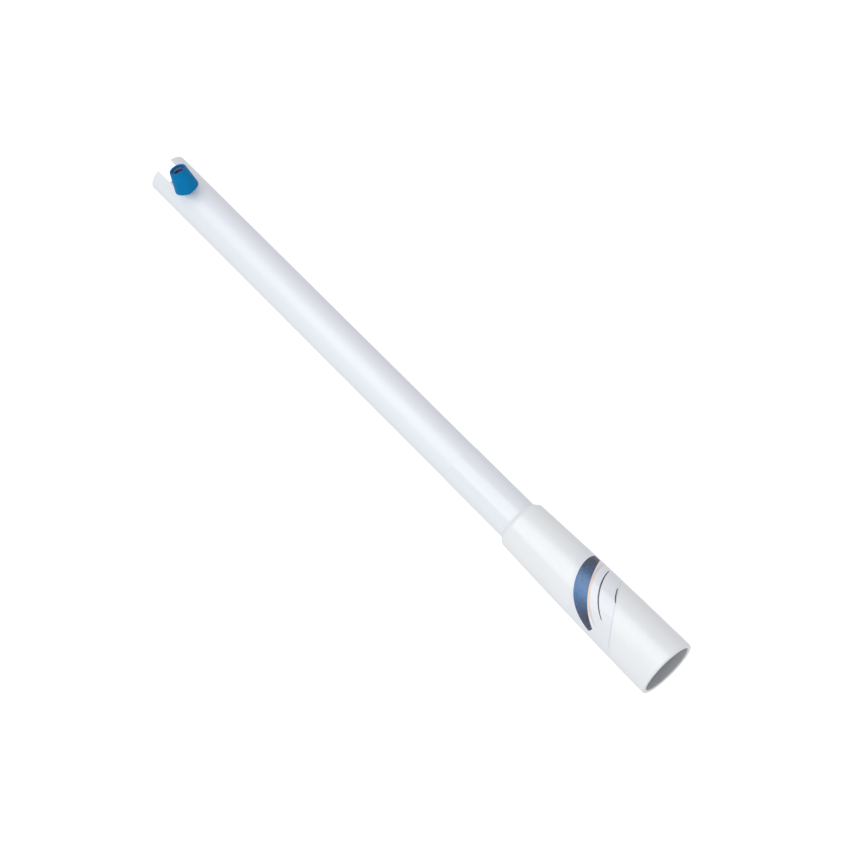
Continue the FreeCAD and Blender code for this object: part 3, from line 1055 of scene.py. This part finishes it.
def white_paper(name, roughness, glow):
    """Faintly uneven white paper that glows enough to look clean white."""
    nodes = Nodes(name)
    nodes.drive("Roughness", nodes.between(nodes.noise(400), roughness, roughness + 0.1))
    nodes.set(Base_Color=(0.9, 0.9, 0.9, 1), Emission_Color=(1, 1, 1, 1), Emission_Strength=glow)
    return nodes.material


def only_for_camera(name, bm, material):
    """Stages an object, drawn in metres, that the camera sees and that sends no light back to the mast."""
    mesh = bpy.data.meshes.new(name)
    bm.to_mesh(mesh)
    bm.free()
    mesh.materials.append(material)
    obj = bpy.data.objects.new(name, mesh)
    bpy.context.scene.collection.objects.link(obj)
    obj.visible_diffuse = False
    obj.visible_glossy = False
    return obj


def build_floor():
    """Pale floor a hair under the mast: it slopes with the lowest edges of the mouth and the tip."""
    bm = bmesh.new()
    half = FLOOR_SIZE / 2
    corners = (-half, -half), (half, -half), (half, half), (-half, half)
    bm.faces.new([bm.verts.new((x, y, 0)) for x, y in corners])
    floor = only_for_camera("floor", bm, white_paper("pale_floor", 0.5, 0.5))
    floor.location = (MOUTH_X * MM, 0, -(MOUTH_RADIUS * MM + FLOOR_GAP))
    fall = (MOUTH_RADIUS - TUBE_RADIUS) / (TIP_X - MOUTH_X)
    floor.rotation_euler = (0, -math.atan(fall), 0)


def build_backdrop():
    """White dome all round the set, so that low views have no horizon."""
    bm = bmesh.new()
    bmesh.ops.create_uvsphere(bm, u_segments=64, v_segments=32, radius=DOME_RADIUS)
    dome = only_for_camera("backdrop", bm, white_paper("white_paper", 0.8, 1.0))
    dome.visible_shadow = False


def lamp(name, place, size, radiance, colour):
    """Rectangular lamp, sized in metres, its brightness given as radiance. The camera doesn't see it."""
    light = bpy.data.lights.new(name, "AREA")
    light.shape = "RECTANGLE"
    light.size, light.size_y = size
    light.energy = radiance * math.pi * size[0] * size[1]
    light.color = colour
    obj = bpy.data.objects.new(name, light)
    bpy.context.scene.collection.objects.link(obj)
    obj.location = place
    obj.visible_camera = False
    return obj


def ceiling_softbox(name, along, across):
    """Softbox that hangs level over the mast, and shows only as a band in glossy surfaces."""
    middle = (sum(along) / 2, sum(across) / 2, SOFTBOX_Z)
    size = (along[1] - along[0], across[1] - across[0])
    box = lamp(name, middle, size, SOFTBOX_RADIANCE, (0.95, 0.985, 1))
    box.visible_diffuse = False


def build_fill():
    """Lamp turned to the mast that lights its surfaces and shows in no reflection."""
    fill = lamp("key_fill", FILL_PLACE, FILL_SIZE, FILL_RADIANCE, (0.97, 0.99, 1))
    fill.rotation_euler = (FILL_PLACE - VIEW_TARGET).to_track_quat("Z", "Y").to_euler()
    fill.visible_glossy = False


def build_light():
    """Even surround, three softboxes for the reflected bands, and one lamp for the surfaces."""
    world = bpy.data.worlds.new("studio")
    bpy.context.scene.world = world
    world.use_nodes = True
    background = world.node_tree.nodes["Background"]
    background.inputs["Color"].default_value = (0.98, 0.985, 1.0, 1)
    background.inputs["Strength"].default_value = SURROUND_RADIANCE
    ceiling_softbox("softbox_tube", (0.44, 1.0), (-0.30, 0.85))
    ceiling_softbox("softbox_shoulder", (0.35, 0.44), (-0.58, 0.85))
    ceiling_softbox("softbox_mouth", (-0.12, 0.35), (-0.60, 0.33))
    build_fill()


def build_camera():
    """Camera high over the mast and towards its mouth, rolled so that the mast lies from corner to corner."""
    data = bpy.data.cameras.new("camera")
    data.lens = VIEW_LENS
    data.sensor_width = SENSOR_WIDTH
    data.clip_start, data.clip_end = 0.01, 50.0
    camera = bpy.data.objects.new("camera", data)
    bpy.context.scene.collection.objects.link(camera)
    flat = math.cos(VIEW_ELEVATION)
    back = Vector((math.sin(VIEW_AZIMUTH) * flat, -math.cos(VIEW_AZIMUTH) * flat, math.sin(VIEW_ELEVATION)))
    camera.location = VIEW_TARGET + back * VIEW_DISTANCE
    upright = back.to_track_quat("Z", "Y")
    camera.rotation_mode = "QUATERNION"
    camera.rotation_quaternion = upright @ Matrix.Rotation(-VIEW_ROLL, 4, "Z").to_quaternion()
    bpy.context.scene.camera = camera


build_mast()
build_outlet()
build_label()
build_floor()
build_backdrop()
build_light()
build_camera()
bpy.context.scene.view_settings.view_transform = "Standard"
